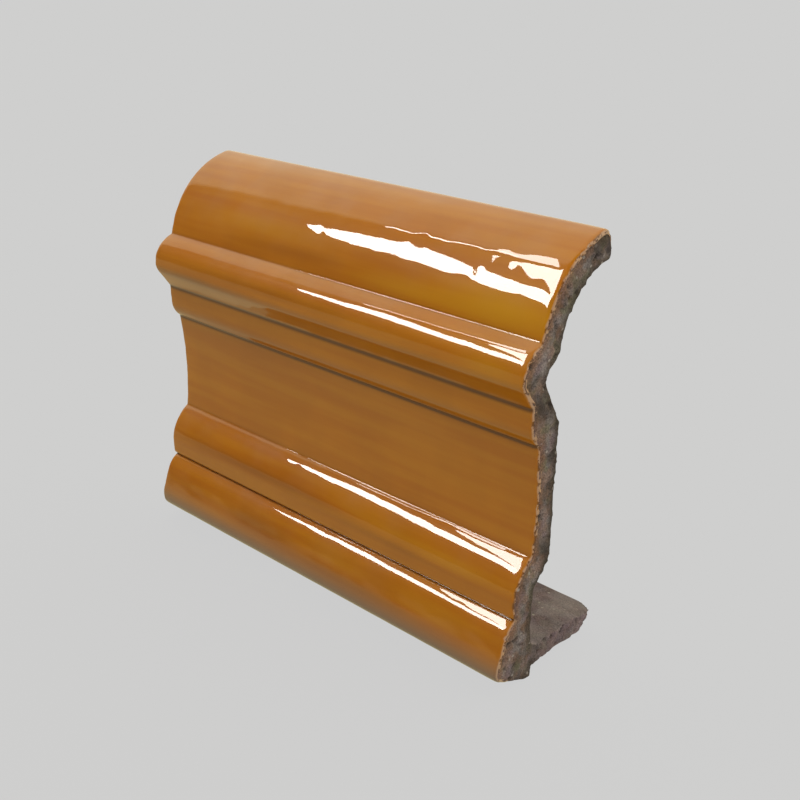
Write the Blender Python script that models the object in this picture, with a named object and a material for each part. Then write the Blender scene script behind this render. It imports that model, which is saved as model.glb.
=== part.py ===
# Glazed ridge tile: one length of extruded, fired clay with a moulded face.
# Units are metres. X runs along the tile, the glazed face looks to -Y, +Z is up.
# The origin is under the middle of the tile, on the ground that it stands on.
# In the section, y = 0 is the face of the flat panel and z = 0 is the foot.

import random
from math import asin, atan2, ceil, cos, hypot, pi, radians, sin, sqrt, tan

import bmesh
import bpy
from mathutils import Matrix, Vector

# Overall
LENGTH = 0.300            # both ends are cut square
WALL = 0.017              # clay behind the moulded face

# Heights of the mouldings, from the foot upwards
ROLL_HEIGHT = 0.0447      # heavy roll at the bottom
BEAD_HEIGHT = 0.0346      # softer bead above it
PANEL_HEIGHT = 0.0667     # flat panel
BAND_HEIGHT = 0.0222      # narrow band under the nose
NOSE_HEIGHT = 0.0343      # projecting nose
OVOLO_RISE = 0.0475       # quarter round that curls back over the top

# How far each moulding stands out in front of the panel
ROLL_OUT = 0.0268
ROLL_SHOULDER_OUT = 0.0178
GROOVE_OUT = 0.0110
BEAD_OUT = 0.0145
BAND_OUT = 0.0057
NOSE_OUT = 0.0195         # to the sharp corner, before it is rounded
OVOLO_OUT = 0.0007

# Shapes of the mouldings
ROLL_CHIN = 0.0117        # height of the roll's lower corner
ROLL_BELLY = 0.0212       # height at which the roll turns inwards
BEAD_CHIN = 0.0028        # bead's lower corner above the groove
BEAD_SLOPE = 0.0135       # height of the bead's sloping top
PANEL_HOLLOW = 0.0022     # dip in the middle of the panel
BAND_CURL = 0.0115        # height of the band's curled lower edge
NOSE_TIP = 0.0197         # nose's sharp corner above the band
OVOLO_RADIUS = 0.060
CHIN_ROUND = 0.007
BELLY_ROUND = 0.016
SHOULDER_ROUND = 0.0045
BEAD_ROUND = 0.014
BEAD_CHIN_ROUND = 0.002
NOSE_ROUND = 0.0105
CREASE_ROUND = 0.0012     # sharp creases, where glaze has pooled
COVE_ROUND = 0.003        # softer crease above the nose
BACK_ROUND = 0.006        # bends of the unglazed back

# Lip at the top
LIP_REACH = 0.056
LIP_ROUND = 0.009
LIP_RUN = 1.2             # the quarter round ends this many roundings before the lip
LIP_UNDER_ROUND = 0.003

# Flange at the bottom, which droops until its rear edge meets the ground
FLANGE_REACH = 0.0695
FLANGE_THICK = 0.0122
FLANGE_LIFT = 0.0060      # gap under the flange where it leaves the wall
FLANGE_LEVEL = 0.014      # level stretch before the droop
FLANGE_SOLE = 0.0030      # worn flat under the rear edge
FLANGE_ROOT = 0.009       # fillet in the corner with the wall
FLANGE_EDGE = 0.0025

# Foot under the wall
FOOT_BACK = 0.0032
FOOT_WIDTH = 0.0050
FOOT_STEP = 0.0020        # run of the step up to the flange
FOOT_ROUND = 0.0008
TOE_ROUND = 0.008

# Ends of the glazed face are softened back to the cut clay
END_ROUND = 0.0022
END_STEPS = 3

# The flange's rear corner at the +X end is broken off at a slant
BREAK_ALONG = 0.011       # lost along the top of the rear edge
BREAK_DEEP = 0.006        # lost across the top of the end
BREAK_UNDER = 0.0175      # lost across the underside of the end
BREAK_ROUGHNESS = 0.0005
BREAK_CELLS = 12
BREAK_SLAB = (0.080, 0.080, 0.030)

# Order of the tile's materials
GLAZE, CLAY = 0, 1

# How finely the curves are drawn
ROUND_SHARE = 0.48        # of a run that is rounded at both its ends
OPEN_SHARE = 0.96         # of a run whose other end stays sharp
SHORTEST_ROUND = 0.00005
ARC_STEP = radians(10)
LONG_ARC_STEP = radians(5)
DROOP_STEPS = 6
PANEL_STEPS = 6


def rounded(corners):
    # Rounds every (y, z, radius) corner with an arc, limited by the runs beside it.
    # Gives one list of points for each corner.
    arcs = []
    for index, (y, z, radius) in enumerate(corners):
        corner = Vector((y, z))
        neighbours = (corners[index - 1], corners[(index + 1) % len(corners)])
        before, after = [Vector(beside[:2]) - corner for beside in neighbours]
        room = [run.length * (ROUND_SHARE if beside[2] else OPEN_SHARE)
                for run, beside in zip((before, after), neighbours)]
        turn = pi - before.angle(after)
        reach = min(radius * tan(turn / 2), *room)
        if reach < SHORTEST_ROUND:
            arcs.append([(y, z)])
            continue
        start = corner + before.normalized() * reach
        end = corner + after.normalized() * reach
        inward = (before.normalized() + after.normalized()).normalized()
        centre = corner + inward * hypot(reach / tan(turn / 2), reach)
        spoke = start - centre
        sweep = -spoke.angle_signed(end - centre)
        steps = max(1, ceil(turn / ARC_STEP))
        angles = [sweep * step / steps for step in range(steps + 1)]
        arcs.append([tuple(centre + Matrix.Rotation(angle, 2) @ spoke) for angle in angles])
    return arcs


def offset_corners(path, distance):
    # Corners of the line that runs at this distance behind a path of (y, z) points.
    corners = []
    for before, corner, after in zip(path, path[1:], path[2:]):
        run_in = (Vector(corner) - Vector(before)).normalized()
        run_out = (Vector(after) - Vector(corner)).normalized()
        behind = Vector((run_in.y + run_out.y, -run_in.x - run_out.x)).normalized()
        miter = distance / behind.dot(Vector((run_in.y, -run_in.x)))
        corners.append(tuple(Vector(corner) + behind * miter))
    return corners


def arc_points(centre, radius, start, end, step):
    count = max(2, ceil(abs(end - start) / step))
    angles = [start + (end - start) * index / count for index in range(count + 1)]
    return [(centre[0] + radius * cos(angle), centre[1] + radius * sin(angle)) for angle in angles]


def mould_levels():
    # Heights of the creases between the mouldings.
    roll = ROLL_HEIGHT
    bead = roll + BEAD_HEIGHT
    panel = bead + PANEL_HEIGHT
    band = panel + BAND_HEIGHT
    nose = band + NOSE_HEIGHT
    return roll, bead, panel, band, nose


def ovolo_centre():
    sink = OVOLO_RADIUS - OVOLO_RISE
    return (sqrt(OVOLO_RADIUS ** 2 - sink ** 2) - OVOLO_OUT, mould_levels()[4] - sink)


def face_corners():
    # The glazed face, from the foot up over the lip.
    roll, bead, panel, band, nose = mould_levels()
    centre = ovolo_centre()
    corners = [
        (FOOT_BACK - FOOT_WIDTH, 0.0, TOE_ROUND),
        (-ROLL_OUT, ROLL_CHIN, CHIN_ROUND),
        (-ROLL_OUT, ROLL_BELLY, BELLY_ROUND),
        (-ROLL_SHOULDER_OUT, roll, SHOULDER_ROUND),
        (-GROOVE_OUT, roll, CREASE_ROUND),
        (-BEAD_OUT, roll + BEAD_CHIN, BEAD_CHIN_ROUND),
        (-BEAD_OUT, bead - BEAD_SLOPE, BEAD_ROUND),
    ]
    for step in range(PANEL_STEPS + 1):
        share = step / PANEL_STEPS
        dip = PANEL_HOLLOW * sin(pi * share)
        radius = CREASE_ROUND if step in (0, PANEL_STEPS) else 0.0
        corners.append((dip, bead + PANEL_HEIGHT * share, radius))
    curl_radius = (BAND_CURL ** 2 + BAND_OUT ** 2) / (2 * BAND_OUT)
    curl_centre = (curl_radius - BAND_OUT, panel + BAND_CURL)
    curl_foot = pi + asin(BAND_CURL / curl_radius)
    curl = arc_points(curl_centre, curl_radius, curl_foot, pi, ARC_STEP)
    corners += [(*point, 0.0) for point in curl[1:]]
    corners += [
        (-BAND_OUT, band, CREASE_ROUND),
        (-NOSE_OUT, band + NOSE_TIP, NOSE_ROUND),
    ]
    foot_angle = atan2(nose - centre[1], -OVOLO_OUT - centre[0])
    lip_run = LIP_RUN * LIP_ROUND
    short_of_top = centre[0] - LIP_REACH + lip_run
    lip_angle = pi - atan2(sqrt(OVOLO_RADIUS ** 2 - short_of_top ** 2), short_of_top)
    quarter = arc_points(centre, OVOLO_RADIUS, foot_angle, lip_angle, LONG_ARC_STEP)
    corners.append((*quarter[0], COVE_ROUND))
    corners += [(*point, 0.0) for point in quarter[1:]]
    rise = short_of_top / (quarter[-1][1] - centre[1])
    corners.append((LIP_REACH, quarter[-1][1] + rise * lip_run, LIP_ROUND))
    return corners


def flange_level(y):
    # Height of the flange's underside: level at first, then drooping to the ground.
    start = FOOT_BACK + FOOT_STEP + FLANGE_LEVEL
    sole = FLANGE_REACH - FLANGE_SOLE
    share = min(max((y - start) / (sole - start), 0.0), 1.0)
    return FLANGE_LIFT * (1 - share ** 2)


def back_corners():
    # The unglazed back, from the lip down to the foot, one wall behind the face.
    roll, bead, panel, band, nose = mould_levels()
    centre = ovolo_centre()
    inner = OVOLO_RADIUS - WALL
    spread = centre[0] - LIP_REACH
    lip_angle = atan2(sqrt(inner ** 2 - spread ** 2), -spread)
    foot_angle = atan2(nose - centre[1], -OVOLO_OUT - centre[0])
    corners = [(*point, 0.0) for point in arc_points(centre, inner, lip_angle, foot_angle, LONG_ARC_STEP)]
    corners[0] = (*corners[0][:2], LIP_UNDER_ROUND)
    rising = (-OVOLO_OUT + sin(foot_angle), nose - cos(foot_angle))
    face = [
        (-BEAD_OUT, roll),
        (-BEAD_OUT, bead - BEAD_SLOPE),
        (0.0, bead),
        (0.0, panel + BAND_CURL / 3),
        (-NOSE_OUT, band + NOSE_TIP),
        (-OVOLO_OUT, nose),
        rising,
    ]
    corners += [(*corner, BACK_ROUND) for corner in reversed(offset_corners(face, WALL))]
    wall_back = WALL - BEAD_OUT
    corners.append((wall_back, flange_level(0.0) + FLANGE_THICK, FLANGE_ROOT))
    start = FOOT_BACK + FOOT_STEP + FLANGE_LEVEL
    rear = FLANGE_REACH
    droop = [start + (rear - start) * step / DROOP_STEPS for step in range(DROOP_STEPS + 1)]
    corners += [(y, flange_level(y) + FLANGE_THICK, 0.0) for y in droop[:-1]]
    corners.append((rear, FLANGE_THICK, FLANGE_EDGE))
    corners.append((rear, 0.0, FOOT_ROUND))
    sole = rear - FLANGE_SOLE
    underside = [sole + (start - sole) * step / DROOP_STEPS for step in range(DROOP_STEPS + 1)]
    corners += [(y, flange_level(y), 0.0) for y in underside]
    corners.append((FOOT_BACK + FOOT_STEP, FLANGE_LIFT, CREASE_ROUND))
    corners.append((FOOT_BACK, 0.0, FOOT_ROUND))
    return corners


def section():
    # The outline as (y, z, share) points, the face first and then the back. The share
    # is how much of the softened ends a point takes: all on the face, none behind.
    face = face_corners()
    arcs = rounded(face + back_corners())
    toe, lip = 0, len(face) - 1
    outline = []
    for index, arc in enumerate(arcs):
        for step, (y, z) in enumerate(arc):
            share = 1.0 if toe < index < lip else 0.0
            if index == lip:
                share = 1 - (step + 1) / len(arc)
            outline.append((y, z, share))
    return outline


def softened(y, z, depth):
    # Moves a point of the face into the clay, towards the quarter round's centre.
    centre = ovolo_centre()
    angle = atan2(max(z - centre[1], 0.0), centre[0] - y)
    return y + depth * cos(angle), z - depth * sin(angle)


def extruded_mesh(outline, middle):
    mesh = bmesh.new()
    stations = []
    for step in range(END_STEPS + 1):
        angle = pi / 2 * step / END_STEPS
        stations.append((LENGTH / 2 - END_ROUND * (1 - sin(angle)), END_ROUND * (1 - cos(angle))))
    stations = [(-x, depth) for x, depth in reversed(stations)] + stations
    rings = []
    for x, depth in stations:
        ring = []
        for y, z, share in outline:
            y, z = softened(y, z, depth * share)
            ring.append(mesh.verts.new((x, y - middle, z)))
        rings.append(ring)
    for near, far in zip(rings, rings[1:]):
        for index, point in enumerate(outline):
            beside = (index + 1) % len(outline)
            side = mesh.faces.new((near[index], near[beside], far[beside], far[index]))
            side.material_index = GLAZE if point[2] and outline[beside][2] else CLAY
            side.smooth = True
    for ring in (rings[0], rings[-1]):
        cap = mesh.faces.new(ring)
        cap.material_index = CLAY
    bmesh.ops.recalc_face_normals(mesh, faces=mesh.faces)
    return mesh


def material(name, colour, roughness, coat):
    finish = bpy.data.materials.new(name)
    finish.use_nodes = True
    shader = finish.node_tree.nodes["Principled BSDF"]
    shader.inputs["Base Color"].default_value = (*colour, 1.0)
    shader.inputs["Roughness"].default_value = roughness
    shader.inputs["Metallic"].default_value = 0.0
    shader.inputs["Coat Weight"].default_value = coat
    return finish


def break_plane(middle):
    # Three points of the broken surface, on the top of the rear edge and of the end
    # and under the end, give a point on it and its outward direction.
    end = LENGTH / 2
    rear = FLANGE_REACH
    deep = rear - BREAK_DEEP
    under = rear - BREAK_UNDER
    edge_top = Vector((end - BREAK_ALONG, rear - middle, FLANGE_THICK))
    end_top = Vector((end, deep - middle, flange_level(deep) + FLANGE_THICK))
    end_under = Vector((end, under - middle, flange_level(under)))
    outward = (end_top - edge_top).cross(end_under - end_top).normalized()
    return (edge_top + end_top + end_under) / 3, outward


def break_corner(tile, middle):
    # A slab with a rough face takes the corner away.
    rng = random.Random("broken corner")
    mesh = bmesh.new()
    bmesh.ops.create_cube(mesh, size=1.0)
    bmesh.ops.subdivide_edges(mesh, edges=mesh.edges, cuts=BREAK_CELLS - 1, use_grid_fill=True)
    for vertex in mesh.verts:
        vertex.co = Vector([share * extent for share, extent in zip(vertex.co, BREAK_SLAB)])
        vertex.co.z += BREAK_SLAB[2] / 2 + BREAK_ROUGHNESS * rng.uniform(-1, 1)
    data = bpy.data.meshes.new("break_slab")
    mesh.to_mesh(data)
    mesh.free()
    slab = bpy.data.objects.new("break_slab", data)
    slab.location, outward = break_plane(middle)
    slab.rotation_euler = outward.to_track_quat("Z", "Y").to_euler()
    slab.hide_render = True
    slab.display_type = "WIRE"
    bpy.context.collection.objects.link(slab)
    cut = tile.modifiers.new("broken corner", "BOOLEAN")
    cut.operation = "DIFFERENCE"
    cut.solver = "EXACT"
    cut.object = slab


def ridge_tile():
    outline = section()
    across = [point[0] for point in outline]
    middle = (min(across) + max(across)) / 2
    mesh = extruded_mesh(outline, middle)
    data = bpy.data.meshes.new("ridge_tile")
    mesh.to_mesh(data)
    mesh.free()
    tile = bpy.data.objects.new("ridge_tile", data)
    bpy.context.collection.objects.link(tile)
    data.materials.append(material("amber_glaze", (0.32, 0.11, 0.02), 0.12, 1.0))
    data.materials.append(material("fired_clay", (0.14, 0.11, 0.09), 0.9, 0.0))
    data.set_sharp_from_angle(angle=radians(40))
    break_corner(tile, middle)


for item in list(bpy.data.objects):
    bpy.data.objects.remove(item, do_unlink=True)
ridge_tile()
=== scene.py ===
import math

import bmesh
import bpy
import numpy as np
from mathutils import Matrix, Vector, geometry


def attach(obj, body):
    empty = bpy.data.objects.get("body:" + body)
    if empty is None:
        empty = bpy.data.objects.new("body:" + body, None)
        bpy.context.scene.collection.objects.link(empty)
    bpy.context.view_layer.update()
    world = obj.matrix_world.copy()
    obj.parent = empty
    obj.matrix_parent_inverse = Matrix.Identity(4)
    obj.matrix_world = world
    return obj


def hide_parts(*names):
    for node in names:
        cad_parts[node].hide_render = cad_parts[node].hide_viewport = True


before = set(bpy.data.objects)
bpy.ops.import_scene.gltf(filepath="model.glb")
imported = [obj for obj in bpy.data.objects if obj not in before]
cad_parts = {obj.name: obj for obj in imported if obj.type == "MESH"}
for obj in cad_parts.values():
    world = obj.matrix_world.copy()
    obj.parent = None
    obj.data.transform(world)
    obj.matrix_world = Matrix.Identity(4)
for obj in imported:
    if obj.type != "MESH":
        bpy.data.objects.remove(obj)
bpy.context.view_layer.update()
scene = bpy.context.scene
scene.view_settings.view_transform = "Standard"
scene.view_settings.look = "None"
print("frame loaded:", sorted(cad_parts))

# camera, where the photo was taken from
viewpoint = {
    "place": (0.4312, -0.43395, 0.3930),  # metres
    "tilt": 24.08,  # degrees below level
    "turn": 42.43,  # degrees round to the left
    "lens": 48.73,  # mm
    "sensor": 36.0,  # mm
}
camera = bpy.data.objects.new("camera", bpy.data.cameras.new("camera"))
camera.data.lens = viewpoint["lens"]
camera.data.sensor_width = viewpoint["sensor"]
camera.location = viewpoint["place"]
camera.rotation_euler = (math.radians(90 - viewpoint["tilt"]), 0.0, math.radians(viewpoint["turn"]))
scene.collection.objects.link(camera)
scene.camera = camera
print("camera placed")


# small helpers for shader nodes
def addNode(tree, kind, **values):
    node = tree.nodes.new(kind)
    for name, value in values.items():
        setattr(node, name, value)
    return node


def feed(tree, socket, value):  # a number or a colour is set, another socket is linked
    if isinstance(value, tuple):
        socket.default_value = (*value, 1.0)
    elif isinstance(value, (int, float)):
        socket.default_value = value
    else:
        tree.links.new(value, socket)


def feedAll(tree, node, values):
    for name, value in values.items():
        feed(tree, node.inputs[name], value)
    return node


def mathNode(tree, operation, first, second, clamp=False):
    node = addNode(tree, "ShaderNodeMath", operation=operation, use_clamp=clamp)
    feed(tree, node.inputs[0], first)
    feed(tree, node.inputs[1], second)
    return node.outputs[0]


def timesNode(tree, first, second):
    return mathNode(tree, "MULTIPLY", first, second)


def spreadNode(tree, value, low, high, toLow=0.0, toHigh=1.0, smooth=True):
    node = addNode(tree, "ShaderNodeMapRange", interpolation_type="SMOOTHSTEP" if smooth else "LINEAR")
    feedAll(tree, node, {"Value": value, "From Min": low, "From Max": high,
                         "To Min": toLow, "To Max": toHigh})
    return node.outputs["Result"]


def blendColour(tree, share, first, second):
    node = addNode(tree, "ShaderNodeMix", data_type="RGBA")
    for socket, value in zip((node.inputs[0], node.inputs[6], node.inputs[7]), (share, first, second)):
        feed(tree, socket, value)
    return node.outputs[2]


def layered(tree, colour, layers):  # each layer is its share and its colour
    for share, top in layers:
        colour = blendColour(tree, share, colour, top)
    return colour


def noiseNode(tree, place, scale, detail, roughness=0.5):
    node = addNode(tree, "ShaderNodeTexNoise")
    feedAll(tree, node, {"Vector": place, "Scale": scale, "Detail": detail, "Roughness": roughness})
    return node.outputs["Fac"]


def mappedPlace(tree, place, name, values):  # moved or stretched texture space
    node = addNode(tree, "ShaderNodeMapping")
    feed(tree, node.inputs["Vector"], place)
    node.inputs[name].default_value = values
    return node.outputs[0]


def objectPlace(tree):
    return addNode(tree, "ShaderNodeTexCoord").outputs["Object"]


def pointValue(tree, name):  # a value kept on the points of the mesh
    return addNode(tree, "ShaderNodeAttribute", attribute_name=name).outputs["Fac"]


def bumpNode(tree, height, strength, distance):
    node = addNode(tree, "ShaderNodeBump")
    feedAll(tree, node, {"Height": height, "Strength": strength, "Distance": distance})
    return node.outputs["Normal"]


def newMaterial(name):
    material = bpy.data.materials.new(name)
    material.use_nodes = True
    material.node_tree.nodes.clear()
    return material, material.node_tree


def closeMaterial(tree, kind, values):  # the shader with its values, and the output
    shader = feedAll(tree, addNode(tree, kind), values)
    feed(tree, addNode(tree, "ShaderNodeOutputMaterial").inputs["Surface"], shader.outputs[0])


# room: a pale floor, a soft sky that is bright behind the tile, and window panes to the left
room = {
    "floorRadius": 40.0,
    "floorSteps": 96,
    "floor": {"Base Color": (0.05, 0.05, 0.052), "Roughness": 0.9, "Specular IOR Level": 0.0,
              "Emission Color": (1.0, 1.0, 1.0), "Emission Strength": 0.595},  # even whatever stands on it
    "brightSide": (0.98, 0.96, 0.74),
    "brightLevel": 1.05,
    "brightWay": (-0.25, 1.0, 0.0),
    "dimSide": (1.0, 0.86, 0.62),
    "dimLevel": 0.14,
    "sideEdge": (-0.03, 0.05),  # how soft the change from dim to bright is
    "below": (0.58, 0.50, 0.28),  # what the glaze mirrors instead of the floor
    "belowEdge": (0.0, -0.04),
    "paneWall": -1.15,  # where the window wall stands
    "paneTint": (1.0, 0.95, 0.88),
}
panes = {  # strength, then its corners on the window wall as (y, z)
    "pane_low": (23.0, ((-0.64, 1.135), (-0.76, 1.09), (-0.85, 1.12), (-0.945, 1.14), (-0.955, 1.225),
                        (-1.17, 1.31), (-1.45, 1.39), (-2.20, 1.63), (-2.20, 2.15), (-0.63, 1.52))),
    "pane_high": (19.0, ((-0.61, 1.92), (-2.20, 1.95), (-2.20, 2.60), (-0.57, 2.60), (-0.545, 2.05))),
    "pane_strip": (20.0, ((-0.320, 1.52), (-0.352, 1.52), (-0.352, 2.02), (-0.320, 2.02))),
    "pane_side": (14.0, ((-0.27, 1.99), (-0.39, 1.99), (-0.47, 2.35), (-0.15, 2.35))),
}
lamps = {  # soft light for the body colour: place, target, size, strength, colour
    "key": ((-0.55, -1.05, 2.1), (0.0, 0.0, 0.12), 1.1, 31.0, (1.0, 0.98, 0.95)),
    "fill": ((1.6, -0.5, 1.0), (0.0, 0.0, 0.12), 1.4, 11.0, (1.0, 0.98, 0.96)),
}


def layFloor():
    mesh = bpy.data.meshes.new("floor")
    turns = [2 * math.pi * k / room["floorSteps"] for k in range(room["floorSteps"])]
    radius = room["floorRadius"]
    ring = [(math.cos(turn) * radius, math.sin(turn) * radius, 0.0) for turn in turns]
    mesh.from_pydata(ring, [], [tuple(range(len(ring)))])
    floor = bpy.data.objects.new("floor", mesh)
    scene.collection.objects.link(floor)
    material, tree = newMaterial("pale_floor")
    closeMaterial(tree, "ShaderNodeBsdfPrincipled", room["floor"])
    mesh.materials.append(material)
    floor.visible_glossy = False


def paintSky():
    world = bpy.data.worlds.new("soft_room")
    scene.world = world
    world.use_nodes = True
    tree = world.node_tree
    tree.nodes.clear()
    direction = addNode(tree, "ShaderNodeTexCoord").outputs["Generated"]
    side = addNode(tree, "ShaderNodeVectorMath", operation="DOT_PRODUCT")
    feed(tree, side.inputs[0], direction)
    side.inputs[1].default_value = room["brightWay"]
    share = spreadNode(tree, side.outputs["Value"], *room["sideEdge"])
    dim = tuple(part * room["dimLevel"] for part in room["dimSide"])
    bright = tuple(part * room["brightLevel"] for part in room["brightSide"])
    height = addNode(tree, "ShaderNodeSeparateXYZ")
    feed(tree, height.inputs[0], direction)
    low = spreadNode(tree, height.outputs["Z"], *room["belowEdge"])
    sky = addNode(tree, "ShaderNodeBackground")
    colour = layered(tree, dim, ((share, bright), (low, room["below"])))
    feed(tree, sky.inputs["Color"], colour)
    feed(tree, addNode(tree, "ShaderNodeOutputWorld").inputs["Surface"], sky.outputs[0])


def hangPanes(lit):  # the panes light the tile alone, so the floor stays even
    for name, (strength, corners) in panes.items():
        material, tree = newMaterial(name + "_light")
        closeMaterial(tree, "ShaderNodeEmission", {"Color": room["paneTint"], "Strength": strength})
        mesh = bpy.data.meshes.new(name)
        mesh.from_pydata([(room["paneWall"], y, z) for y, z in corners], [], [tuple(range(len(corners)))])
        mesh.materials.append(material)
        pane = bpy.data.objects.new(name, mesh)
        scene.collection.objects.link(pane)
        pane.visible_camera = pane.visible_diffuse = False  # seen only in the glaze
        pane.light_linking.receiver_collection = lit


def hangLamps(lit):
    for name, (place, target, size, strength, colour) in lamps.items():
        light = bpy.data.lights.new(name, "AREA")
        light.size, light.energy, light.color = size, strength, colour
        lamp = bpy.data.objects.new(name, light)
        scene.collection.objects.link(lamp)
        lamp.location = place
        lamp.rotation_euler = (Vector(target) - Vector(place)).to_track_quat("-Z", "Y").to_euler()
        lamp.visible_glossy = False
        lamp.light_linking.receiver_collection = lit


layFloor()
paintSky()
print("floor and sky made")


# the outline of the tile, read from its solid
section = {
    "cut": -0.1478,  # where the face still has its full form
    "end": -0.150,
    "near": 5e-5,
    "corner": 24.0,  # degrees, sharper turns stay corners
    "step": 0.0001,
    "wear": 0.00032,  # how far corners are rubbed round
    "bendSpread": 0.0006,  # smoothing of the bend, of the way in, and of the row spacing
    "inwardSpread": 0.0026,
    "rowSpread": 0.0008,
    "sharpness": 90.0,  # the bend, 1 per metre, at which rows lie half way to their closest
    "quarterLow": 0.205,  # the quarter round is above this height
    "toeBorder": (-0.0372, 0.0064),  # the glaze ends here below the roll
    "lipBorder": (0.0345, 0.2400),  # and here behind the lip
    # swells that are fuller in the fired tile: crease (y, z), foot (y, z), length, slopes from crease to foot
    "swells": (
        ((-0.0340, 0.0450), (-0.0464, 0.0258), 0.02360,
         (64.9, 55.4, 44.9, 33.5, 24.9, 20.9, 20.8, 20.9, 21.0)),
        ((-0.0217, 0.0790), (-0.03585, 0.0570), 0.02734,
         (62.9, 54.6, 46.3, 39.1, 33.2, 27.1, 19.6, 10.4, 0.0)),
        ((-0.0223, 0.20235), (-0.03675, 0.18642), 0.02297,
         (71.3, 67.2, 61.5, 53.5, 44.2, 34.7, 25.1, 13.9, 1.0)),
    ),
    "swellSteps": 121,
    "swellStride": 4,  # every fourth step of a swell is kept
    "swellReach": 0.0012,  # points of the solid this close to a foot give way
}


def ringEdges(mesh, at, capOnly):
    flat = {v.index for v in mesh.vertices if abs(v.co[0] - at) < section["near"]}
    name = {v: (round(mesh.vertices[v].co[1], 6), round(mesh.vertices[v].co[2], 6)) for v in flat}
    used = {}
    for face in mesh.polygons:
        corners = list(face.vertices)
        if capOnly and not all(v in flat for v in corners):
            continue
        for a, b in zip(corners, corners[1:] + corners[:1]):
            if a in flat and b in flat and name[a] != name[b]:
                edge = frozenset((name[a], name[b]))
                used[edge] = used.get(edge, 0) + 1
    near = {}
    for edge, count in used.items():
        if not capOnly or count == 1:
            a, b = tuple(edge)
            near.setdefault(a, []).append(b)
            near.setdefault(b, []).append(a)
    return near


def walkRing(near, start):
    line, seen = [start], {start}
    while True:
        onward = [p for p in sorted(near[line[-1]]) if p not in seen]
        if not onward:
            return line
        line.append(onward[0])
        seen.add(onward[0])


def readSection(node):  # toe, face, lip, back, flange, foot, as one loop of (y, z)
    near = ringEdges(node.data, section["cut"], False)
    ends = [p for p, others in near.items() if len(others) == 1]
    face = walkRing(near, min(ends, key=lambda p: p[1]))
    capEdges = ringEdges(node.data, section["end"], True)
    cap = walkRing(capEdges, max(capEdges))
    lip = cap.index(face[-1])
    cap = cap[lip:] + cap[:lip]
    if cap[1][1] > cap[0][1] or abs(cap[1][0] - cap[0][0]) > 1e-6:  # it has to go down the lip first
        cap = cap[:1] + cap[:0:-1]
    return np.array(face + cap[1:len(cap) - len(face) + 1])


def fillSwells(points):  # each swell is one full curve from its foot to the crease above
    for crease, foot, length, slopes in section["swells"]:
        s = np.linspace(0, length, section["swellSteps"])
        lean = np.radians(np.interp(s, np.linspace(0, length, len(slopes)), slopes))
        lean = (lean[1:] + lean[:-1]) / 2
        run = np.vstack([[0, 0], np.cumsum(np.stack([-np.sin(lean), -np.cos(lean)], 1), 0) * s[1]]) + crease
        run += (np.array(foot) - run[-1]) * (s / length)[:, None]
        first = np.argmin(np.linalg.norm(points - foot, axis=1))
        last = np.argmin(np.linalg.norm(points - crease, axis=1))
        reach = section["swellReach"]
        while np.linalg.norm(points[first - 1] - foot) < reach or points[first - 1][1] > foot[1]:
            first -= 1
        points = np.vstack([points[:first], run[::-1][::section["swellStride"]], points[last + 1:]])
    return points


def curveThrough(points):  # arcs between the points, straight runs kept, corners kept
    before, after = np.roll(points, 1, 0), np.roll(points, -1, 0)
    lead, trail = points - before, after - points
    a, b = np.linalg.norm(lead, axis=1), np.linalg.norm(trail, axis=1)
    lead, trail = lead / a[:, None], trail / b[:, None]
    turn = np.degrees(np.arccos(np.clip((lead * trail).sum(1), -1, 1)))
    mixed = lead * (a ** 2)[:, None] + trail * (b ** 2)[:, None]
    mixed /= np.linalg.norm(mixed, axis=1)[:, None]
    sharp = (turn > section["corner"])[:, None]
    leaving, arriving = np.where(sharp, trail, mixed), np.where(sharp, lead, mixed)
    run = []
    for k, start in enumerate(points):
        m = (k + 1) % len(points)
        count = max(2, int(math.ceil(b[k] / section["step"])))
        t = (np.arange(count) / count)[:, None]
        run.append((2 * t ** 3 - 3 * t ** 2 + 1) * start + (t ** 3 - 2 * t ** 2 + t) * leaving[k] * b[k]
                   + (3 * t ** 2 - 2 * t ** 3) * points[m] + (t ** 3 - t ** 2) * arriving[m] * b[k])
    return np.vstack(run)


def evenly(loop, step):  # the same loop with even steps
    closed = np.vstack([loop, loop[:1]])
    length = np.concatenate([[0], np.cumsum(np.linalg.norm(np.diff(closed, axis=0), axis=1))])
    count = int(round(length[-1] / step))
    s = np.arange(count) * length[-1] / count
    return np.stack([np.interp(s, length, closed[:, k]) for k in range(closed.shape[1])], 1), length[-1]


def rubbed(values, spread, total):  # Gaussian smoothing round the loop
    pitch = np.fft.fftfreq(len(values), total / len(values))
    keep = np.exp(-2 * (math.pi * pitch * spread) ** 2)
    keep = keep.reshape(-1, *([1] * (values.ndim - 1)))
    return np.fft.ifft(np.fft.fft(values, axis=0) * keep, axis=0).real


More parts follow.
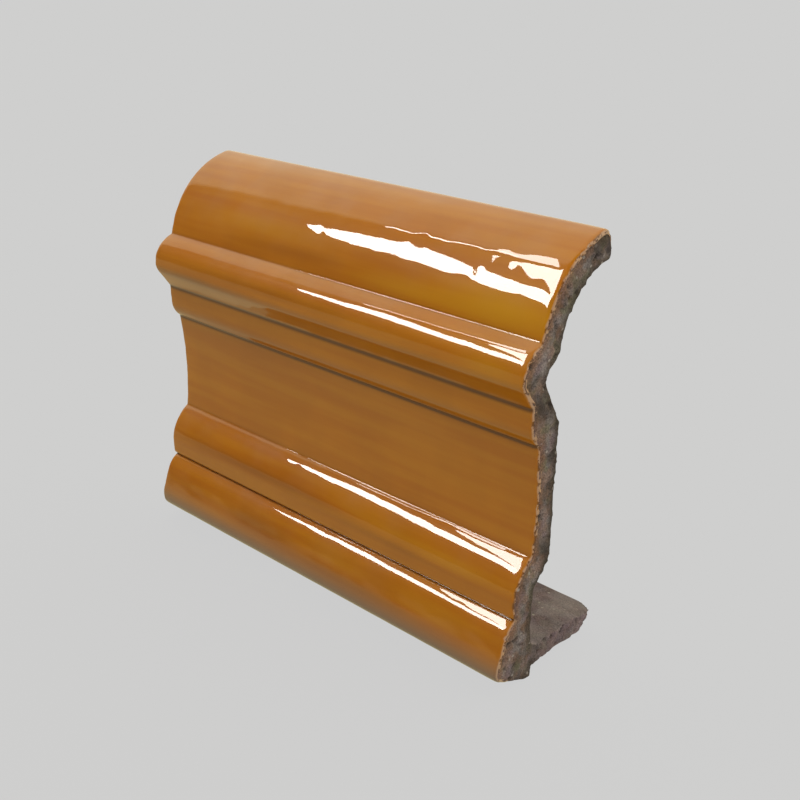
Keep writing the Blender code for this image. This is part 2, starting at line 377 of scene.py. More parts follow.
class Outline:  # the loop and what is known along it
    def __init__(self, node):
        loop, total = evenly(curveThrough(fillSwells(readSection(node))), section["step"])
        loop = rubbed(loop, section["wear"], total)
        loop, total = evenly(loop, section["step"])
        toe = np.argmin(np.linalg.norm(loop - section["toeBorder"], axis=1))
        loop = np.roll(loop, -toe, 0)
        self.total, self.count, self.loop = total, len(loop), loop
        self.s = np.arange(self.count) * total / self.count
        run = np.roll(loop, -1, 0) - np.roll(loop, 1, 0)
        run /= np.linalg.norm(run, axis=1)[:, None]
        self.normal = np.stack([-run[:, 1], run[:, 0]], 1)
        ahead, behind = np.roll(run, -1, 0), np.roll(run, 1, 0)
        bend = np.arctan2(behind[:, 0] * ahead[:, 1] - behind[:, 1] * ahead[:, 0], (behind * ahead).sum(1))
        bend = bend * self.count / (2 * total)  # 1 per metre, hollow above 0
        self.bend = rubbed(bend, section["bendSpread"], total)
        self.inward = rubbed(self.normal, section["inwardSpread"], total)
        self.lip = self.s[np.argmin(np.linalg.norm(loop - section["lipBorder"], axis=1))]

    def quarterAt(self, slope):  # where the quarter round leans back by this many degrees
        lean = np.degrees(np.arctan2(self.normal[:, 1], -self.normal[:, 0]))
        quarter = (self.loop[:, 1] > section["quarterLow"]) & (self.s < self.lip)
        return self.s[np.argmin(np.where(quarter, np.abs(lean - slope), np.inf))]

    def at(self, values, s):
        s = np.mod(s, self.total)
        long = np.append(self.s, self.total)
        if values.ndim == 1:
            return np.interp(s, long, np.append(values, values[0]))
        return np.stack([np.interp(s, long, np.append(v, v[0])) for v in values.T], 1)

    def rows(self, start, stop, fine, coarse):  # closer together where it bends
        s = np.arange(start, stop, section["step"])
        bend = np.abs(self.at(rubbed(np.abs(self.bend), section["rowSpread"], self.total), s))
        gap = fine + (coarse - fine) / (1 + (bend / section["sharpness"]) ** 2)
        steps = np.concatenate([[0], np.cumsum(section["step"] / gap)])
        count = int(round(steps[-1]))
        return np.interp(np.linspace(0, steps[-1], count + 1), steps, np.append(s, stop))


outline = Outline(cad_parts["ridge_tile"])


# noise in plain arithmetic, the same on each run
def softNoise(seed, *parts):  # about -1 to 1, by a place given in three parts
    places = np.column_stack(np.broadcast_arrays(*parts))
    cell = np.floor(places).astype(np.int64)
    part = places - cell
    fade = part ** 3 * (part * (part * 6 - 15) + 10)
    total = np.zeros(len(places))
    for corner in range(8):
        offset = np.array([corner & 1, corner >> 1 & 1, corner >> 2 & 1])
        c = cell + offset
        code = c[:, 0] * 73856093 ^ c[:, 1] * 19349663 ^ c[:, 2] * 83492791
        code = (code ^ (seed + 7) * 2654435761) & 0xFFFFFFFF
        slope = np.empty((len(places), 3))
        for axis in range(3):
            code = (code ^ (code >> 15)) * 2246822519 & 0xFFFFFFFF
            code = (code ^ (code >> 13)) * 3266489917 & 0xFFFFFFFF
            slope[:, axis] = (code ^ (code >> 16) & 0xFFFFFFFF) / 2147483648.0 - 1.0
        weight = np.prod(np.where(offset, fade, 1 - fade), axis=1)
        total += weight * (slope * (part - offset)).sum(1)
    return total * 1.25


def waveSum(x, s, waves):  # waves are seed, length along, length across, layer of the noise, height
    relief = np.zeros(len(x))
    for seed, along, across, layer, height in waves:
        relief += height * softNoise(seed, x / along, s / across, layer)
    return relief


def ease(value, low, high):  # smooth step
    t = np.clip((value - low) / (high - low), 0, 1)
    return t * t * (3 - 2 * t)


def spotSum(across, up, spots):  # soft oval spots: place, half sizes, strength
    total = np.zeros(len(across))
    for a, b, halfA, halfB, strength in spots:
        total += strength * np.exp(-((across - a) / halfA) ** 2 - ((up - b) / halfB) ** 2)
    return total


# relief that clay and glaze share
firing = {
    "length": 0.150,  # half the tile
    "weld": 2e-6,  # points this close become one
    "frontRound": (0.0034, 0.0020),  # the face is softened at its ends: run along, depth
    "backRound": (0.0010, 0.0009),
    "frontStart": (0.000, 0.008),  # where the outline turns from back to front
    "frontStop": 0.004,  # half the way over which it turns back at the lip
    "droop": (0.0030, 0.00030),  # it leans off a little before each end: run, drop
    "waves": ((1, 0.075, 0.026, 0.5, 0.00010), (2, 0.013, 0.0080, 0.5, 0.000075),
              (4, 0.0065, 0.0052, 0.5, 0.000012), (3, 0.35, 0.0034, 3.5, 0.000012)),
    # small flaws of the quarter round: x, slope of the face there, half length, half width, height
    "flaws": ((0.050, 48.0, 0.0040, 0.0040, 0.00011), (0.058, 47.0, 0.0030, 0.0050, -0.00008),
              (0.0995, 36.5, 0.0018, 0.0020, -0.00030), (-0.030, 38.0, 0.0060, 0.0026, 0.00007),
              (-0.018, 36.5, 0.0040, 0.0030, -0.00007), (0.091, 31.5, 0.0090, 0.0022, -0.00010),
              (0.108, 44.0, 0.0050, 0.0024, -0.00012), (0.115, 42.5, 0.0036, 0.0020, 0.00010),
              (0.030, 33.5, 0.0070, 0.0026, 0.00008), (0.128, 29.5, 0.0050, 0.0030, -0.00008),
              (-0.006, 55.0, 0.0070, 0.0030, 0.00010), (0.020, 54.0, 0.0050, 0.0026, -0.00009)),
}


def sharedRelief(x, s):
    relief = waveSum(x, s, firing["waves"])
    run, drop = firing["droop"]
    relief -= drop * np.exp((np.abs(x) - firing["length"]) / run)
    flaws = [(at, outline.quarterAt(slope), *rest) for at, slope, *rest in firing["flaws"]]
    return relief + spotSum(x, s, flaws)


def endRound(s):  # how round the end is, by place along the outline
    lip, half = outline.lip, firing["frontStop"]
    front = ease(s, *firing["frontStart"]) * (1 - ease(s, lip - half, lip + half))
    return [back + (face - back) * front for face, back in zip(firing["frontRound"], firing["backRound"])]


def placeOn(x, s, angle, side, lift):  # a point of the tile, at x or turned round its end by the angle
    run, depth = endRound(s)
    flat = firing["length"] - run
    along = np.where(side == 0, np.clip(x, -flat, flat), side * (flat + run * np.sin(angle)))
    inset = depth * (1 - np.cos(angle))
    point = outline.at(outline.loop, s) + outline.at(outline.normal, s) * lift[:, None]
    return np.column_stack([along, point - outline.at(outline.inward, s) * inset[:, None]])


def columnList(spacing, endSteps, full):  # (x, angle, side) across the tile
    inner = firing["length"] - firing["frontRound"][0]
    count = int(round(2 * inner / spacing))
    xs = np.linspace(-inner, inner, count + 1)
    turn = [full * k / endSteps for k in range(1, endSteps + 1)]
    return ([(-inner, a, -1) for a in reversed(turn)] + [(x, 0.0, 0) for x in xs]
            + [(inner, a, 1) for a in turn])


def spreadGrid(s, columns):  # x, place along the outline, angle and side of each point, row after row
    x, angle, side = (np.tile(np.array(v, float), len(s)) for v in zip(*columns))
    return x, np.repeat(s, len(columns)), angle, side


def gridFaces(rows, columns, closed):
    r = np.arange(rows if closed else rows - 1)[:, None]
    c = np.arange(columns - 1)[None, :]
    below, above = r * columns + c, (r + 1) % rows * columns + c
    return [tuple(f) for f in np.stack([below, above, above + 1, below + 1], -1).reshape(-1, 4).tolist()]


def makePiece(name, points, faces, material, values, uv=None):
    mesh = bpy.data.meshes.new(name)
    mesh.from_pydata(points.tolist(), [], faces)
    for key, numbers in values.items():
        layer = mesh.attributes.new(key, "FLOAT", "POINT")
        layer.data.foreach_set("value", np.asarray(numbers, np.float32))
    if uv is not None:
        layer = mesh.uv_layers.new(name="along")
        corner = np.zeros(len(mesh.loops), np.int32)
        mesh.loops.foreach_get("vertex_index", corner)
        layer.data.foreach_set("uv", np.asarray(uv, np.float32)[corner].ravel())
    work = bmesh.new()
    work.from_mesh(mesh)
    bmesh.ops.remove_doubles(work, verts=work.verts, dist=firing["weld"])
    bmesh.ops.recalc_face_normals(work, faces=work.faces)
    work.to_mesh(mesh)
    work.free()
    mesh.polygons.foreach_set("use_smooth", [True] * len(mesh.polygons))
    mesh.materials.append(material)
    piece = bpy.data.objects.new(name, mesh)
    scene.collection.objects.link(piece)
    print("piece", name, "with", sum(len(p.vertices) - 2 for p in mesh.polygons), "triangles")
    return piece


# shared effects
effects = {
    "grain": {"Fine Scale": 900.0, "Speck Scale": 260.0, "Speck Size": 0.2, "Patch Scale": 40.0},
    "grainNoise": (4.0, 0.65),  # detail, roughness
    "patchDetail": 3.0,
    "speckEdge": (0.0, 0.08),
    "patchEdge": (0.38, 0.62),
    "dust": {"Amount": 0.3, "Scale": 35.0},
    "dustDetail": 5.0,
    "dustFacing": (0.1, 0.95),  # how far up a place has to face
    "dustEdge": (0.40, 0.68),
}


def newGroup(name, inputs, outputs):
    group = bpy.data.node_groups.new(name, "ShaderNodeTree")
    for label, value in inputs.items():
        socket = group.interface.new_socket(name=label, in_out="INPUT", socket_type="NodeSocketFloat")
        socket.default_value = value
    for label in outputs:
        group.interface.new_socket(name=label, in_out="OUTPUT", socket_type="NodeSocketFloat")
    return group, addNode(group, "NodeGroupInput"), addNode(group, "NodeGroupOutput")


def grainGroup():  # fine grain, specks and patches of fired clay and of the glaze over it
    group, start, end = newGroup("kilnGrain", effects["grain"], ("Grain", "Specks", "Patches"))
    place = objectPlace(group)
    cells = addNode(group, "ShaderNodeTexVoronoi")
    feedAll(group, cells, {"Vector": place, "Scale": start.outputs["Speck Scale"]})
    gap = mathNode(group, "SUBTRACT", start.outputs["Speck Size"], cells.outputs["Distance"])
    patch = noiseNode(group, place, start.outputs["Patch Scale"], effects["patchDetail"])
    fine = noiseNode(group, place, start.outputs["Fine Scale"], *effects["grainNoise"])
    feedAll(group, end, {"Grain": fine, "Specks": spreadNode(group, gap, *effects["speckEdge"]),
                         "Patches": spreadNode(group, patch, *effects["patchEdge"])})
    return group


def dustGroup():  # dust that lies on what faces up
    group, start, end = newGroup("yardDust", effects["dust"], ("Dust",))
    facing = addNode(group, "ShaderNodeSeparateXYZ")
    feed(group, facing.inputs[0], addNode(group, "ShaderNodeNewGeometry").outputs["Normal"])
    up = spreadNode(group, facing.outputs["Z"], *effects["dustFacing"])
    cloud = noiseNode(group, objectPlace(group), start.outputs["Scale"], effects["dustDetail"])
    thick = spreadNode(group, cloud, *effects["dustEdge"])
    lying = mathNode(group, "MULTIPLY", timesNode(group, up, thick), start.outputs["Amount"], True)
    feed(group, end.inputs["Dust"], lying)
    return group


grain, dust = grainGroup(), dustGroup()


def placeGroup(tree, group, values):
    return feedAll(tree, addNode(tree, "ShaderNodeGroup", node_tree=group), values).outputs


# clay body: the whole fired piece, bare on its cut ends, back, flange and foot
clay = {
    "front": (0.0007, 0.0021),  # row spacing where it bends and where it is flat
    "back": (0.0008, 0.0016),
    "column": 0.0025,
    "endSteps": 6,
    "bareToe": (-0.002, 0.004),  # where bare clay changes to covered clay, from the toe
    "bareLip": (-0.006, 0.001),  # and from the lip
    "bareTurn": (0.6, 1.2),  # and round the end
    "sunk": 0.00025,  # covered clay lies this far below the outline
    "skinWaves": ((21, 0.060, 0.0021, 1.5, 0.00010), (22, 0.0108, 0.0045, 2.5, 0.00007)),  # drag marks, grain
    "pits": (23, 0.0102, 0.0060, 4.5, 0.00055),
    "pitEdge": (0.46, 0.75),
    "cutWaves": ((11, 0.022, 0.00080), (12, 0.0044, 0.00130), (13, 0.0021, 0.00062)),  # seed, length, height
    "cutLayer": 5.3,
    "holes": (14, 9.1, 0.0050, 0.0013),  # seed, layer, length, depth
    "holeEdge": (0.26, 0.50),
    "farCut": 0.8,  # the far end has this share of the relief
    "capGrid": 0.00115,
    "capJitter": 0.32,
    "capGap": 0.6,
    "hollowShade": (0.00035, 0.0016),  # depths that look dark, as painted shade in the pits and holes
    "depthStride": 8,  # every eighth step of the outline is enough to measure the depth in the wall
    "depthParts": 80,  # measured in so many parts, to save memory
    "wall": (0.3, -0.010, 0.035),  # what counts as the cut wall: least cut, y in front of, z above
    "foot": ((-0.026, 0.0), (0.014, 0.032), 0.85),  # the cut foot is as plain as the flange: y, z, share
    # dark places of the near end: y, z, half width, half height, strength
    "stains": ((0.024, 0.244, 0.012, 0.006, 0.9), (0.033, 0.239, 0.004, 0.008, 0.9),
               (-0.023, 0.169, 0.005, 0.007, 1.0), (-0.017, 0.163, 0.005, 0.006, 0.8),
               (-0.007, 0.150, 0.003, 0.020, 0.7), (-0.009, 0.072, 0.004, 0.016, 0.8),
               (-0.028, 0.182, 0.006, 0.005, 0.1), (0.003, 0.226, 0.005, 0.010, 0.4),
               (-0.006, 0.110, 0.003, 0.020, 0.6), (-0.031, 0.007, 0.014, 0.004, 0.25),
               (-0.032, 0.028, 0.003, 0.014, 0.4), (-0.038, 0.055, 0.004, 0.008, 0.4),
               (0.004, 0.008, 0.018, 0.004, 0.15)),
    "breakPoints": ((0.139, 0.04815, 0.0122), (0.150, 0.04215, 0.0130), (0.150, 0.03065, 0.0030)),
    "breakRegion": (0.100, 0.015, 0.030),  # beyond this x and y, below this z
    "breakWaves": ((31, 0.0050, 0.0011), (32, 0.0020, 0.000385)),
    "pale": (0.272, 0.230, 0.216),
    "dark": (0.098, 0.080, 0.070),
    "warm": (0.225, 0.112, 0.058),
    "mauve": (0.205, 0.150, 0.158),
    "moss": (0.170, 0.155, 0.095),
    # near black, for the stains and for painted shade in the pits and holes of the cut ends
    "darkStainAndShade": (0.035, 0.026, 0.021),
    "plain": (0.146, 0.103, 0.122),  # skin of the back and flange
    "drawn": (0.232, 0.170, 0.190),  # paler streaks along it
    "fresh": (0.165, 0.152, 0.168),  # the broken corner
    "rear": (0.060, 0.050, 0.036),  # the cut end towards the back
    "speck": (0.040, 0.030, 0.024),
    "grit": (0.46, 0.41, 0.36),
    "dust": (0.34, 0.31, 0.30),
    "fine": {"Fine Scale": 1100.0, "Speck Scale": 330.0, "Speck Size": 0.14, "Patch Scale": 75.0},
    "coarse": {"Fine Scale": 420.0, "Speck Scale": 140.0, "Speck Size": 0.16, "Patch Scale": 120.0},
    "lying": {"Amount": 0.35, "Scale": 45.0},
    "tintShift": (0.31, 0.17, 0.05),
    "tintNoise": (85.0, 3.0),  # scale, detail
    "drawnScale": (9.0, 120.0, 120.0),
    "drawnNoise": (1.0, 4.0),
    "ranges": {  # from low and high, to low and high
        "mauve": (0.53, 0.66, 0.0, 0.7), "moss": (0.47, 0.34, 0.0, 0.7), "nearGlaze": (0.45, 0.08, 0.0, 0.7),
        "rear": (0.60, 0.95, 0.0, 0.8), "drawn": (0.35, 0.65), "shade": (0.32, 0.68, 0.45, 1.45, False),
    },
    "shares": {"warm": 0.5, "plain": 0.66, "broken": 0.8, "specks": 0.8, "grit": 0.6, "hollowShade": 0.85,
               "stain": 0.75},
    "surface": {"Roughness": 0.86, "Specular IOR Level": 0.3},
    "bump": (0.9, 0.00045),
}


def endRelief(points):  # how far the cut end stands in or out
    relief = np.zeros(len(points))
    for seed, pitch, height in clay["cutWaves"]:
        relief += height * softNoise(seed, clay["cutLayer"], points[:, 1] / pitch, points[:, 2] / pitch)
    seed, layer, pitch, depth = clay["holes"]
    hole = softNoise(seed, layer, points[:, 1] / pitch, points[:, 2] / pitch)
    return relief - depth * ease(hole, *clay["holeEdge"])


def endOffset(points, side):  # the same along x, for the near end (1) or the far end (-1)
    return side * endRelief(points) * np.where(side > 0, 1, clay["farCut"])


def endShare(angle, side):  # how much of it a turned point gets
    return np.where(side == 0, 0.0, np.sin(angle) ** 2)


def openSkin(x, s):  # relief of bare clay
    seed, along, across, layer, depth = clay["pits"]
    pit = softNoise(seed, x / along, s / across, layer)
    return waveSum(x, s, clay["skinWaves"]) - depth * ease(pit, *clay["pitEdge"])


def breakCorner(points):  # the rear corner of the flange is broken off
    a, b, c = (np.array(p) for p in clay["breakPoints"])
    across = np.cross(b - a, c - a)
    across /= np.linalg.norm(across)
    if across[0] < 0:
        across = -across
    rough = sum(height * softNoise(seed, *(points / pitch).T) for seed, pitch, height in clay["breakWaves"])
    beyond = (points - a) @ across + rough
    level = np.array([across[0], across[1], 0.0])
    level /= np.linalg.norm(level)
    x, y, z = clay["breakRegion"]
    region = (points[:, 0] > x) & (points[:, 1] > y) & (points[:, 2] < z) & (beyond > 0)
    moved = points.copy()
    moved[region] -= level * (beyond[region] / (level @ across))[:, None]
    return moved, region


def insideLoop(points, loop):
    inside = np.zeros(len(points), bool)
    for a, b in zip(loop, np.roll(loop, -1, 0)):
        cross = (a[1] > points[:, 1]) != (b[1] > points[:, 1])
        with np.errstate(divide="ignore", invalid="ignore"):
            at = (b[0] - a[0]) * (points[:, 1] - a[1]) / (b[1] - a[1]) + a[0]
        inside ^= cross & (points[:, 0] < at)
    return inside


def capMesh(ring, seed):  # triangles inside one end ring, with points between
    chance = np.random.default_rng(seed)
    pitch = clay["capGrid"]
    lines = [np.arange(low, high, pitch) for low, high in zip(ring.min(0), ring.max(0))]
    grid = np.stack(np.meshgrid(*lines), -1).reshape(-1, 2)
    grid = grid + chance.uniform(-clay["capJitter"], clay["capJitter"], grid.shape) * pitch
    grid = grid[insideLoop(grid, ring)]
    gap = np.array([np.min(np.abs(ring - p).max(1)) for p in grid])
    grid = grid[gap > clay["capGap"] * pitch]
    edges = [(k, (k + 1) % len(ring)) for k in range(len(ring))]
    every = [tuple(p) for p in np.vstack([ring, grid]).tolist()]
    result = geometry.delaunay_2d_cdt(every, edges, [], 1, 1e-7)
    points, faces, source = result[0], result[2], result[3]
    return np.array([tuple(p) for p in points]), faces, [found[0] if found else -1 for found in source]


def wallDepth(points):  # 0 at the glaze, 1 at the back
    gaps = []
    for side in (outline.s < outline.lip, outline.s > outline.lip):
        line = outline.loop[side][::clay["depthStride"]]
        parts = np.array_split(points[:, 1:], clay["depthParts"])
        gaps.append(np.concatenate([np.sqrt(((part[:, None] - line) ** 2).sum(2)).min(1) for part in parts]))
    return gaps[0] / (gaps[0] + gaps[1] + 1e-9)


def shapeClay(material):
    front = outline.rows(0.0, outline.lip, *clay["front"])
    back = outline.rows(outline.lip, outline.total, *clay["back"])
    s = np.concatenate([front[:-1], back[:-1]])
    columns = columnList(clay["column"], clay["endSteps"], math.pi / 2)
    rows, wide = len(s), len(columns)
    xAll, sAll, angleAll, sideAll = spreadGrid(s, columns)
    fromLip, toLip = clay["bareLip"]
    bare = 1 - ease(sAll, *clay["bareToe"]) * (1 - ease(sAll, outline.lip + fromLip, outline.lip + toLip))
    bare = np.maximum(bare, ease(angleAll, *clay["bareTurn"]))
    lift = sharedRelief(xAll, sAll) + bare * openSkin(xAll, sAll) - clay["sunk"] * (1 - bare)
    points = placeOn(xAll, sAll, angleAll, sideAll, lift)
    cut = endShare(angleAll, sideAll)
    points[:, 0] += endOffset(points, sideAll) * cut
    faces = gridFaces(rows, wide, True)
    every, cutAll = [points], [cut]
    total = len(points)
    for column, end, seed in ((0, -1.0, 6), (wide - 1, 1.0, 5)):
        index = np.arange(rows) * wide + column
        flat, triangles, source = capMesh(points[index][:, 1:], seed)
        place = np.column_stack([np.full(len(flat), end * firing["length"]), flat])
        place[:, 0] += endOffset(place, end)
        number, fresh = [], []
        for k, found in enumerate(source):
            if 0 <= found < rows:
                number.append(int(index[found]))
            else:
                number.append(total + len(fresh))
                fresh.append(place[k])
        faces += [tuple(number[v] for v in face) for face in triangles]
        every.append(np.array(fresh))
        cutAll.append(np.ones(len(fresh)))
        total += len(fresh)
    points, cut = np.vstack(every), np.concatenate(cutAll)
    # painted shade: the cut ends are darkened where their relief lies deep, in pits and holes
    hollowShade = cut * ease(-endRelief(points), *clay["hollowShade"])
    leastCut, inFront, above = clay["wall"]
    wall = (cut > leastCut) & ((points[:, 1] < inFront) | (points[:, 2] > above))
    depth = np.full(len(points), 0.5)
    depth[wall] = wallDepth(points[wall])
    footY, footZ, share = clay["foot"]
    plain = np.maximum(1 - cut, share * (ease(points[:, 1], *footY) * (1 - ease(points[:, 2], *footZ))))
    stain = spotSum(points[:, 1], points[:, 2], clay["stains"]) * cut * (points[:, 0] > 0)
    points, broken = breakCorner(points)
    points[:, 2] = np.maximum(points[:, 2], 0.0)
    return makePiece("clay_body", points, faces, material,
                     {"hollowShade": hollowShade, "stain": np.minimum(stain, 1), "depth": depth,
                      "plain": plain, "broken": broken.astype(float)})


def clayMaterial():
    material, tree = newMaterial("fired_clay_bare")
    ranges, shares = clay["ranges"], clay["shares"]
    fine = placeGroup(tree, grain, clay["fine"])
    coarse = placeGroup(tree, grain, clay["coarse"])
    shifted = mappedPlace(tree, objectPlace(tree), "Location", clay["tintShift"])
    tints = noiseNode(tree, shifted, *clay["tintNoise"])
    stretched = mappedPlace(tree, objectPlace(tree), "Scale", clay["drawnScale"])
    drawn = noiseNode(tree, stretched, *clay["drawnNoise"])
    skin = blendColour(tree, spreadNode(tree, drawn, *ranges["drawn"]), clay["plain"], clay["drawn"])
    depth = pointValue(tree, "depth")
    colour = layered(tree, clay["dark"], (
        (fine["Patches"], clay["pale"]),
        (timesNode(tree, coarse["Patches"], shares["warm"]), clay["warm"]),
        (spreadNode(tree, tints, *ranges["mauve"]), clay["mauve"]),
        (spreadNode(tree, tints, *ranges["moss"]), clay["moss"]),
        (spreadNode(tree, depth, *ranges["nearGlaze"]), clay["warm"]),
        (spreadNode(tree, depth, *ranges["rear"]), clay["rear"]),
        (timesNode(tree, pointValue(tree, "plain"), shares["plain"]), skin),
        (timesNode(tree, pointValue(tree, "broken"), shares["broken"]), clay["fresh"])))
    shaded = addNode(tree, "ShaderNodeVectorMath", operation="SCALE")
    feed(tree, shaded.inputs[0], colour)
    feed(tree, shaded.inputs["Scale"], spreadNode(tree, fine["Grain"], *ranges["shade"]))
    colour = layered(tree, shaded.outputs[0], (
        (timesNode(tree, fine["Specks"], shares["specks"]), clay["speck"]),
        (timesNode(tree, coarse["Specks"], shares["grit"]), clay["grit"]),
        (placeGroup(tree, dust, clay["lying"])["Dust"], clay["dust"]),
        # painted shade in the deep pits and holes, then the stains
        (timesNode(tree, pointValue(tree, "hollowShade"), shares["hollowShade"]), clay["darkStainAndShade"]),
        (timesNode(tree, pointValue(tree, "stain"), shares["stain"]), clay["darkStainAndShade"])))
    height = mathNode(tree, "SUBTRACT", fine["Grain"], fine["Specks"])
    closeMaterial(tree, "ShaderNodeBsdfPrincipled", {
        "Base Color": colour, "Normal": bumpNode(tree, height, *clay["bump"]), **clay["surface"]})
    return material


body = shapeClay(clayMaterial())
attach(body, "root")
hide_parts("ridge_tile")


# glaze coat: a thin amber skin over the face, from under the roll to behind the lip
glaze = {
    "rows": (0.00060, 0.00150),  # row spacing where it bends and where it is flat
    "column": 0.00130,
    "endSteps": 7,
    "thick": 0.00042,
    "edgeUnder": 0.00045,  # how deep its border goes into the clay
    "under": 0.00075,  # how deep its hidden side lies in the clay
    "underTurn": 0.8,  # how far round the end the hidden side goes
    "roll": 0.0020,  # width of its rounded border
    "endTurn": 1.50,  # the grid goes this far round the end
    "endBorder": (1.16, 0.34, 0.75),  # where the glaze ends on the turn, how ragged, how deep chips go
    "ragged": (41, 7.7, 0.0055, 0.2),  # seed, place by side, length, layer
    "chips": (42, 3.1, 0.0085, 6.2),
    "chipEdge": (0.34, 0.62),
    "endScale": 0.8,
    "inside": 0.02,  # counts as far from the ends
    "wander": (43, 0.012, 0.0012),  # the long borders wander: seed, length, width
    "margin": 0.0015,
    "worn": (0.009, 0.006),  # the lip is worn at its near end: width, length
    "bead": (0.00010, 0.8, 0.35),  # it draws up a little at the border: height, place, width
    "waves": ((44, 0.011, 0.0065, 7.5, 0.000022),),
    "cutShare": 0.6,  # it follows the rough cut this much
    "poolSpread": 0.0012,
    "poolBend": 300.0,  # 1 per metre, a crease this sharp has the full pool and its painted shade
    "crown": (0.0015, 0.0, 0.25, 0.75),  # less of it, and so less painted shade, in creases that face up, as above a swell: smoothing, from, to, share
    "turnLength": 0.004,
    # heights over which the painted shade and floor reflection low on the roll fade out
    "dull": (0.009, 0.031),
    "light": (0.480, 0.190, 0.008),
    "amber": (0.380, 0.114, 0.003),
    "deep": (0.175, 0.048, 0.004),
    # darker glaze pooled in the creases, darkened further as painted shade where they face down
    "crease": (0.120, 0.037, 0.006),
    "gold": (0.520, 0.250, 0.008),
    "pale": (0.500, 0.310, 0.190),  # thin glaze at the border, and a painted reflection along its rounded edge
    "brown": (0.110, 0.042, 0.016),
    "lowShadeAndReflection": (0.172, 0.140, 0.108),  # painted shade and painted floor reflection, low on the roll
    "speck": (0.10, 0.03, 0.01),
    "dust": (0.55, 0.50, 0.44),
    # paler, golden places and deeper ones (below 0): x, z, half length, half height, strength
    "goldSpots": ((0.125, 0.213, 0.040, 0.009, 0.9), (0.060, 0.209, 0.040, 0.005, 0.5),
                  (-0.060, 0.222, 0.050, 0.006, 0.3), (0.128, 0.188, 0.020, 0.006, 0.5),
                  (0.050, 0.066, 0.040, 0.004, 0.3), (0.110, 0.062, 0.030, 0.005, 0.4),
                  (0.020, 0.034, 0.030, 0.005, 0.3), (0.100, 0.032, 0.030, 0.006, 0.35),
                  (-0.090, 0.030, 0.020, 0.006, 0.3), (-0.060, 0.0620, 0.090, 0.0030, -0.5),
                  (0.070, 0.0575, 0.070, 0.0022, -0.3), (-0.070, 0.030, 0.060, 0.0045, -0.45),
                  (0.040, 0.0240, 0.070, 0.0030, -0.4), (-0.040, 0.190, 0.080, 0.0028, -0.35),
                  (-0.030, 0.212, 0.050, 0.004, -0.25), (-0.115, 0.1815, 0.060, 0.0035, -0.55),
                  (-0.110, 0.152, 0.060, 0.022, -0.22)),
    "streakScale": (7.0, 120.0, 1.0),
    "streakNoise": (1.0, 4.0),  # scale, detail
    "rippleNoise": (130.0, 2.0),
    "clouds": {"Fine Scale": 240.0, "Speck Scale": 210.0, "Speck Size": 0.07, "Patch Scale": 26.0},
    "lying": {"Amount": 0.05, "Scale": 30.0},
    "ranges": {  # from low and high, to low and high
        "streaks": (0.32, 0.68, 0.10, 0.50), "gold": (0.0, 1.0, 0.0, 0.8, False),
        "deeper": (0.0, -1.0, 0.0, 1.0, False), "crease": (0.04, 0.55), "crown": (-0.15, -0.85, 0.0, 0.5),
        "edging": (0.49, 0.58), "rim": (0.30, 0.75, 0.0, 0.85),
    },
    "shares": {"patches": 0.10, "specks": 0.5, "dull": 0.9, "raised": 0.6},
    "surface": {"Roughness": 0.35, "Specular IOR Level": 0.04, "Coat Weight": 1.0, "Coat Roughness": 0.02,
                "Coat IOR": 1.52},
    "bump": (0.5, 0.00006),
}


def glazeEdge(x, s, angle, side):  # 0 at the border of the glaze, 1 where it is full
    ragged, chips = [softNoise(seed, side * ways, s / pitch, layer) for seed, ways, pitch, layer in
                     (glaze["ragged"], glaze["chips"])]
    border, uneven, chipDepth = glaze["endBorder"]
    stop = border + uneven * ragged - chipDepth * ease(chips, *glaze["chipEdge"])
    toEnd = np.where(side == 0, glaze["inside"], glaze["endScale"] * endRound(s)[0] * (stop - angle))
    seed, pitch, width = glaze["wander"]
    margin = glaze["margin"] + width * softNoise(seed, x / pitch, 0.0, 0.0)
    wornWidth, wornLength = glaze["worn"]
    worn = wornWidth * np.exp(-((firing["length"] - x) / wornLength) ** 2)
    toSide = np.minimum(s - margin, outline.lip - margin - worn - s)
    return np.clip(np.minimum(toEnd, toSide) / glaze["roll"], 0, 1)


def closeFan(points, wide, row, lines):  # closes one long edge between its grid row and the hidden side
    low = [int(line[row]) for line in lines]
    marks = [points[v][0] for v in low]
    faces, at = [], 0
    for k in range(wide - 1):
        a, b = row * wide + k, row * wide + k + 1
        if at < len(low) - 2 and points[a][0] > (marks[at] + marks[at + 1]) / 2:
            faces.append((a, low[at], low[at + 1]))
            at += 1
        if a != low[at] and b != low[at]:
            faces.append((a, low[at], b))
    while at < len(low) - 2:
        faces.append((row * wide + wide - 1, low[at], low[at + 1]))
        at += 1
    return faces


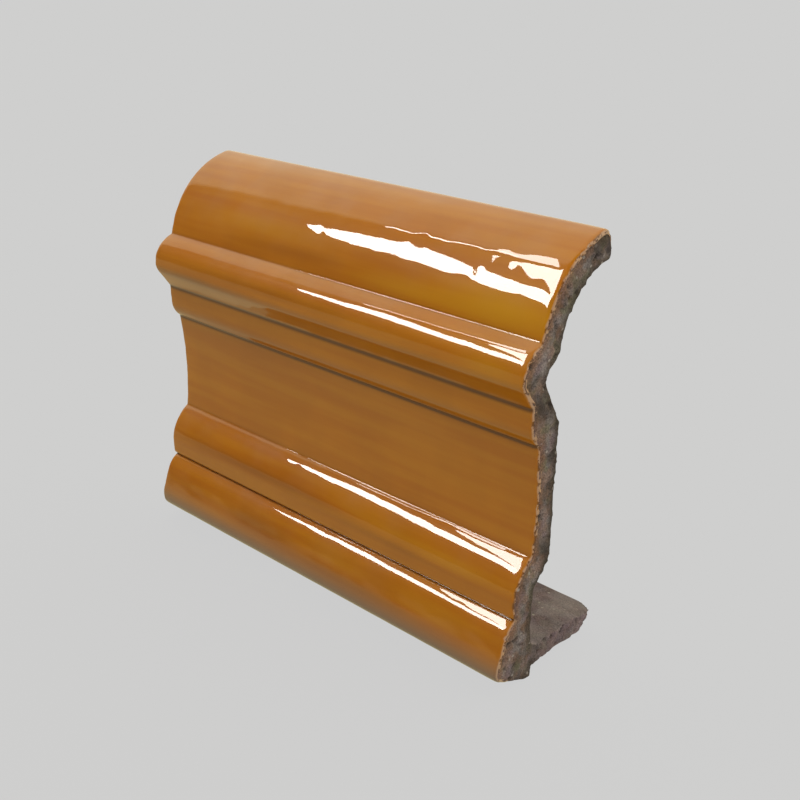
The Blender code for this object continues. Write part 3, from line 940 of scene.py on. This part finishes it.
def shapeGlaze(material):
    s = outline.rows(0.0, outline.lip, *glaze["rows"])
    columns = columnList(glaze["column"], glaze["endSteps"], glaze["endTurn"])
    rows, wide = len(s), len(columns)
    xAll, sAll, angleAll, sideAll = spreadGrid(s, columns)
    edge = glazeEdge(xAll, sAll, angleAll, sideAll)
    rise = np.sqrt(1 - (1 - edge) ** 2)
    height, place, width = glaze["bead"]
    bead = height * np.exp(-((edge - place) / width) ** 2) * (edge < 1)
    lift = sharedRelief(xAll, sAll) - glaze["edgeUnder"] + (glaze["thick"] + glaze["edgeUnder"]) * rise
    lift += bead + waveSum(xAll, sAll, glaze["waves"]) * rise
    points = placeOn(xAll, sAll, angleAll, sideAll, lift)
    points[:, 0] += endOffset(points, sideAll) * endShare(angleAll, sideAll) * glaze["cutShare"]
    # the hidden side: the same rows with few columns between the shared ends
    inner = firing["length"] - firing["frontRound"][0]
    most = glaze["underTurn"]
    few = ((-1.0, most, -inner), (0.0, 0.0, -inner), (0.0, 0.0, inner), (1.0, most, inner))
    start = len(points)
    ones = np.ones(rows)
    hidden = [placeOn(at * ones, s, turn * ones, way * ones, -glaze["under"] * ones) for way, turn, at in few]
    points = np.vstack([points] + hidden)
    first = np.arange(rows) * wide
    lines = [first] + [start + k * rows + np.arange(rows) for k in range(len(few))] + [first + wide - 1]
    faces = gridFaces(rows, wide, False)
    for a, b in zip(lines, lines[1:]):
        faces += [(int(a[k]), int(b[k]), int(b[k + 1]), int(a[k + 1])) for k in range(rows - 1)]
    for row in (0, rows - 1):
        faces += closeFan(points, wide, row, lines)
    # glaze pooled in hollow bends and thinner on crowns; hollows that face up lose most of it, so the crease
    # darkening is partly painted shade
    poolAndShade = outline.at(rubbed(outline.bend, glaze["poolSpread"], outline.total), s)
    poolAndShade = np.clip(poolAndShade / glaze["poolBend"], -1, 1)
    spread, low, high, share = glaze["crown"]
    facing = outline.at(rubbed(outline.normal[:, 1], spread, outline.total), s)
    poolAndShade *= np.where(poolAndShade > 0, 1 - share * ease(facing, low, high), 1)
    across = [xAll + sideAll * angleAll * glaze["turnLength"]] + [np.full(rows, at) for *_, at in few]
    uv = np.column_stack([np.concatenate(across), np.concatenate([sAll] + [s] * len(few))])
    values = {
        "poolAndShade": np.concatenate([np.repeat(poolAndShade, wide)] + [poolAndShade] * len(few)),
        "rim": np.concatenate([1 - edge, np.zeros(rows * len(few))]),
        "gold": np.minimum(spotSum(points[:, 0], points[:, 2], glaze["goldSpots"]), 1),
        # painted shade and floor reflection, low on the front of the roll
        "dull": (1 - ease(points[:, 2], *glaze["dull"])) * (points[:, 1] < 0),
    }
    return makePiece("glaze_coat", points, faces, material, values, uv)


def glazeMaterial():
    material, tree = newMaterial("amber_glaze_coat")
    ranges, shares = glaze["ranges"], glaze["shares"]
    clouds = placeGroup(tree, grain, glaze["clouds"])
    flow = addNode(tree, "ShaderNodeUVMap", uv_map="along").outputs[0]
    stretched = mappedPlace(tree, flow, "Scale", glaze["streakScale"])
    streaks = noiseNode(tree, stretched, *glaze["streakNoise"])
    gold, poolAndShade = pointValue(tree, "gold"), pointValue(tree, "poolAndShade")
    fleck = spreadNode(tree, clouds["Grain"], *ranges["edging"])
    edging = blendColour(tree, fleck, glaze["pale"], glaze["brown"])
    colour = layered(tree, glaze["amber"], (
        (spreadNode(tree, streaks, *ranges["streaks"]), glaze["light"]),
        (timesNode(tree, clouds["Patches"], shares["patches"]), glaze["deep"]),
        (spreadNode(tree, gold, *ranges["gold"]), glaze["gold"]),
        (spreadNode(tree, gold, *ranges["deeper"]), glaze["deep"]),
        # pooled glaze in the creases, partly painted shade, then thinner glaze on the crowns
        (spreadNode(tree, poolAndShade, *ranges["crease"]), glaze["crease"]),
        (spreadNode(tree, poolAndShade, *ranges["crown"]), glaze["light"]),
        (timesNode(tree, clouds["Specks"], shares["specks"]), glaze["speck"]),
        # painted shade and floor reflection low on the front
        (timesNode(tree, pointValue(tree, "dull"), shares["dull"]), glaze["lowShadeAndReflection"]),
        # the border: thin glaze whose pale flecks also paint the reflection along the rounded edge
        (spreadNode(tree, pointValue(tree, "rim"), *ranges["rim"]), edging),
        (placeGroup(tree, dust, glaze["lying"])["Dust"], glaze["dust"])))
    ripple = noiseNode(tree, objectPlace(tree), *glaze["rippleNoise"])
    height = mathNode(tree, "ADD", ripple, timesNode(tree, clouds["Specks"], shares["raised"]))
    closeMaterial(tree, "ShaderNodeBsdfPrincipled", {
        "Base Color": colour, "Normal": bumpNode(tree, height, *glaze["bump"]), **glaze["surface"]})
    return material


coat = shapeGlaze(glazeMaterial())
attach(coat, "root")

lit = bpy.data.collections.new("lit_by_panes")
for piece in (body, coat):
    lit.objects.link(piece)
hangPanes(lit)
hangLamps(lit)
print("panes and lamps hung")
